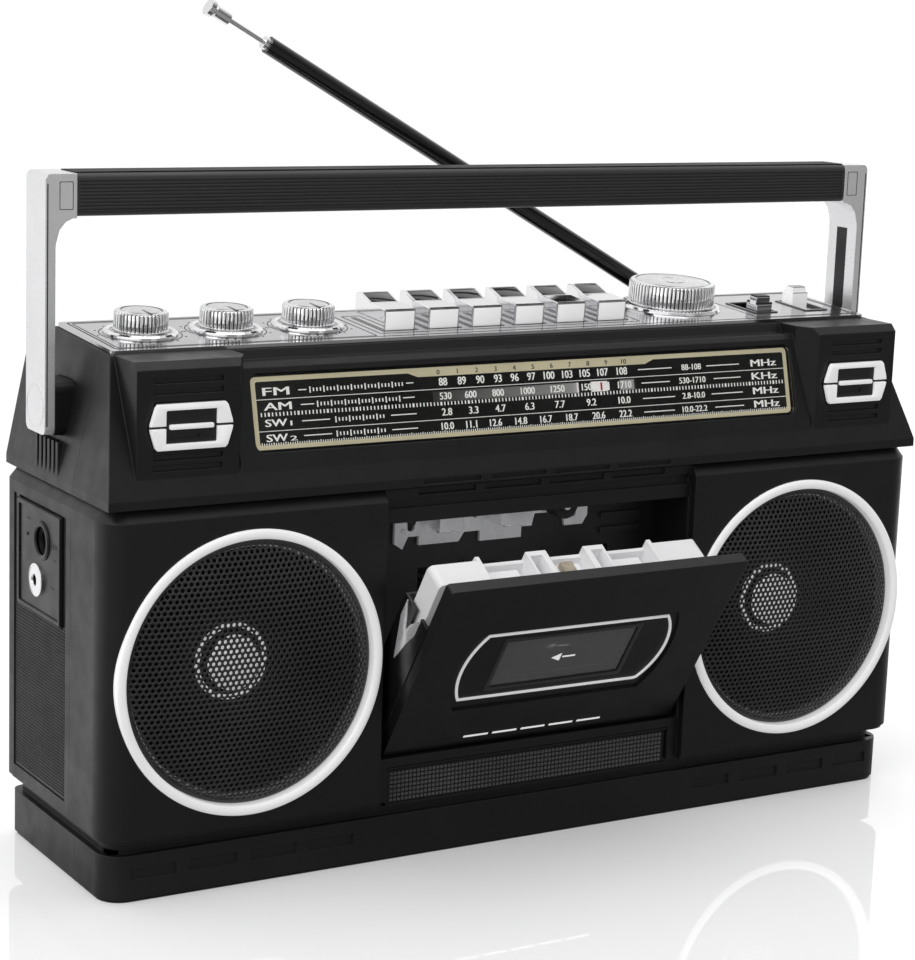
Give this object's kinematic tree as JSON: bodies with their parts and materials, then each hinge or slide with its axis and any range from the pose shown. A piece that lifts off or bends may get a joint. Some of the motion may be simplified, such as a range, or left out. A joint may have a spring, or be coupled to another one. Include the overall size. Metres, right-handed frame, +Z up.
{
  "type": "portable radio cassette recorder",
  "caption": "Portable stereo radio cassette recorder with swing handle, telescopic aerial, tuning dial, piano keys, tilting cassette door and two round loudspeakers.",
  "frame": {"origin": "centre of the base footprint, on the surface it stands on", "axes": "+X to the right seen from the front, +Y to the rear, +Z up; the front faces -Y"},
  "size_m": [0.312, 0.1167, 0.2686],
  "materials": {
    "black_shell": "satin, fine spark texture",
    "black_gloss": "gloss",
    "chrome": "polished",
    "plate_metal": "brushed and bright",
    "white_trim": "gloss",
    "grille_metal": "satin, perforated",
    "dial_print": "printed scale",
    "clear_plastic": "clear",
    "smoked_plastic": "lightly smoked",
    "deck_metal": "satin",
    "steel": "plain",
    "zinc": "zinc plated",
    "rubber_black": "matt",
    "cone_paper": "matt",
    "cassette_grey": "satin",
    "hub_white": "satin",
    "pointer_white": "satin",
    "board_green": "solder mask",
    "ferrite": "matt",
    "aerial_black": "gloss",
    "brass": "plain"
  },
  "bodies": {
    "cabinet": {"front_cabinet": "black_shell", "middle_cabinet": "black_shell", "rear_cabinet": "black_shell", "feet": "rubber_black", "case_screws": "zinc", "side_panels": "black_shell", "jack_panel": "black_gloss", "dc_jack": "black_gloss", "phone_jack": "chrome", "top_plate": "plate_metal", "potentiometers": "zinc", "tuning_capacitor": "zinc", "dial_scale": "dial_print", "dial_window": "clear_plastic", "emblem_frames": "white_trim", "grip_bar": "black_shell", "speaker_rings": "white_trim", "speaker_grilles": "grille_metal", "speaker_frames": "steel", "speaker_cones": "cone_paper", "handle_pivots": "black_shell", "deck_plate": "deck_metal", "drive_belt": "rubber_black", "drive_motor": "zinc", "main_board": "board_green", "ferrite_antenna": "ferrite"},
    "handle": {"handle_brackets": "chrome", "handle_grip": "black_shell", "handle_strip": "chrome"},
    "aerial_swivel": {"antenna_base": "black_shell"},
    "aerial_tube": {"antenna_knuckle": "chrome", "antenna_tube": "aerial_black"},
    "aerial_section": {"antenna_section_2": "chrome"},
    "aerial_rod": {"antenna_rod": "chrome"},
    "volume_knob": {"volume_knob": "chrome"},
    "tone_knob": {"tone_knob": "chrome"},
    "balance_knob": {"balance_knob": "chrome"},
    "tuning_knob": {"tuning_knob": "chrome"},
    "dial_pointer": {"dial_pointer": "pointer_white"},
    "key_record": {"key_record": "chrome"},
    "key_play": {"key_play": "chrome"},
    "key_rewind": {"key_rewind": "chrome"},
    "key_fast_forward": {"key_fast_forward": "chrome"},
    "key_stop_eject": {"key_stop_eject": "chrome"},
    "key_pause": {"key_pause": "chrome"},
    "function_slider": {"function_slider": "chrome"},
    "band_slider": {"band_slider": "white_trim"},
    "door": {"cassette_door": "black_shell", "door_window": "smoked_plastic", "cassette_holder": "black_gloss"},
    "cassette": {"cassette_shell": "cassette_grey"},
    "cassette_hub_left": {"cassette_hub_left": "hub_white"},
    "cassette_hub_right": {"cassette_hub_right": "hub_white"},
    "head_carriage": {"head_plate": "steel"},
    "pinch_roller": {"pinch_roller": "rubber_black"},
    "flywheel": {"flywheel": "brass"},
    "motor_pulley": {"motor_pulley": "brass"},
    "spindle_left": {"spindle_left": "black_gloss"},
    "spindle_right": {"spindle_right": "black_gloss"},
    "battery_door": {"battery_door": "black_shell"}
  },
  "joints": [
    {"name": "handle_swing", "type": "hinge", "parent": "cabinet", "child": "handle", "pos_m": [0, 0.0055, 0.146], "axis": [1, 0, 0], "range_deg": [-10, 90]},
    {"name": "aerial_turn", "type": "hinge", "parent": "cabinet", "child": "aerial_swivel", "pos_m": [0.0938, 0.03, 0.1605], "axis": [0, 0, 1], "range_deg": [-180, 5]},
    {"name": "aerial_tilt", "type": "hinge", "parent": "aerial_swivel", "child": "aerial_tube", "pos_m": [0.0938, 0.03, 0.1661], "axis": [0, 1, 0], "range_deg": [-28.7, 61.3]},
    {"name": "aerial_extend_1", "type": "slide", "parent": "aerial_tube", "child": "aerial_section", "axis": [-0.8771, 0, 0.4802], "range_m": [-0.001, 0.15]},
    {"name": "aerial_extend_2", "type": "slide", "parent": "aerial_section", "child": "aerial_rod", "axis": [-0.8771, 0, 0.4802], "range_m": [-0.014, 0.13]},
    {"name": "volume_turn", "type": "hinge", "parent": "cabinet", "child": "volume_knob", "pos_m": [-0.124, -0.00015, 0.16772], "axis": [0, -0.0658, 0.9978], "range_deg": [-150, 150]},
    {"name": "tone_turn", "type": "hinge", "parent": "cabinet", "child": "tone_knob", "pos_m": [-0.0952, -0.00015, 0.16772], "axis": [0, -0.0658, 0.9978], "range_deg": [-150, 150]},
    {"name": "balance_turn", "type": "hinge", "parent": "cabinet", "child": "balance_knob", "pos_m": [-0.0665, -0.00015, 0.16772], "axis": [0, -0.0658, 0.9978], "range_deg": [-150, 150]},
    {"name": "tuning_turn", "type": "hinge", "parent": "cabinet", "child": "tuning_knob", "pos_m": [0.078, 0.00484, 0.16805], "axis": [0, -0.0658, 0.9978], "range_deg": [-40, 260]},
    {"name": "pointer_travel", "type": "slide", "parent": "cabinet", "child": "dial_pointer", "axis": [1, 0, 0], "range_m": [-0.0602, 0.0094]},
    {"name": "key_record_press", "type": "slide", "parent": "cabinet", "child": "key_record", "axis": [0, 0.0658, -0.9978], "range_m": [0, 0.004]},
    {"name": "key_play_press", "type": "slide", "parent": "cabinet", "child": "key_play", "axis": [0, 0.0658, -0.9978], "range_m": [0, 0.004]},
    {"name": "key_rewind_press", "type": "slide", "parent": "cabinet", "child": "key_rewind", "axis": [0, 0.0658, -0.9978], "range_m": [0, 0.004]},
    {"name": "key_fast_forward_press", "type": "slide", "parent": "cabinet", "child": "key_fast_forward", "axis": [0, 0.0658, -0.9978], "range_m": [0, 0.004]},
    {"name": "key_stop_eject_press", "type": "slide", "parent": "cabinet", "child": "key_stop_eject", "axis": [0, 0.0658, -0.9978], "range_m": [0, 0.004]},
    {"name": "key_pause_press", "type": "slide", "parent": "cabinet", "child": "key_pause", "axis": [0, 0.0658, -0.9978], "range_m": [0, 0.004]},
    {"name": "function_select", "type": "slide", "parent": "cabinet", "child": "function_slider", "axis": [0, 0.9978, 0.0658], "range_m": [0, 0.0085]},
    {"name": "band_select", "type": "slide", "parent": "cabinet", "child": "band_slider", "axis": [0, 0.9978, 0.0658], "range_m": [-0.0085, 0]},
    {"name": "door_swing", "type": "hinge", "parent": "cabinet", "child": "door", "pos_m": [0, -0.0355, 0.0385], "axis": [1, 0, 0], "range_deg": [-32.1, 0]},
    {"name": "cassette_lift", "type": "slide", "parent": "door", "child": "cassette", "axis": [0, -0.5314, 0.8471], "range_m": [0, 0.075]},
    {"name": "left_hub_spin", "type": "hinge", "parent": "cassette", "child": "cassette_hub_left", "pos_m": [-0.02525, -0.05272, 0.06595], "axis": [0, -0.8471, -0.5314], "continuous": true},
    {"name": "right_hub_spin", "type": "hinge", "parent": "cassette", "child": "cassette_hub_right", "pos_m": [0.01725, -0.05272, 0.06595], "axis": [0, -0.8471, -0.5314], "continuous": true},
    {"name": "head_travel", "type": "slide", "parent": "cabinet", "child": "head_carriage", "axis": [0, 0, -1], "range_m": [0, 0.006]},
    {"name": "pinch_spin", "type": "hinge", "parent": "head_carriage", "child": "pinch_roller", "pos_m": [0.015, -0.027, 0.109], "axis": [0, 1, 0], "continuous": true},
    {"name": "flywheel_spin", "type": "hinge", "parent": "cabinet", "child": "flywheel", "pos_m": [0.015, -0.0115, 0.0895], "axis": [0, 1, 0], "continuous": true},
    {"name": "motor_spin", "type": "hinge", "parent": "cabinet", "child": "motor_pulley", "pos_m": [-0.036, -0.0115, 0.092], "axis": [0, 1, 0], "continuous": true},
    {"name": "left_spindle_spin", "type": "hinge", "parent": "cabinet", "child": "spindle_left", "pos_m": [-0.02525, -0.018, 0.0709], "axis": [0, 1, 0], "continuous": true},
    {"name": "right_spindle_spin", "type": "hinge", "parent": "cabinet", "child": "spindle_right", "pos_m": [0.01725, -0.018, 0.0709], "axis": [0, 1, 0], "continuous": true},
    {"name": "battery_door_off", "type": "slide", "parent": "cabinet", "child": "battery_door", "axis": [0, 1, 0], "range_m": [0, 0.05]}
  ],
  "couplings": [
    {"joint": "pointer_travel", "follows": "tuning_turn", "m_per_rad": -0.0132},
    {"joint": "head_travel", "follows": "key_play_press", "ratio": 1.5},
    {"joint": "motor_spin", "follows": "flywheel_spin", "ratio": 4}
  ]
}
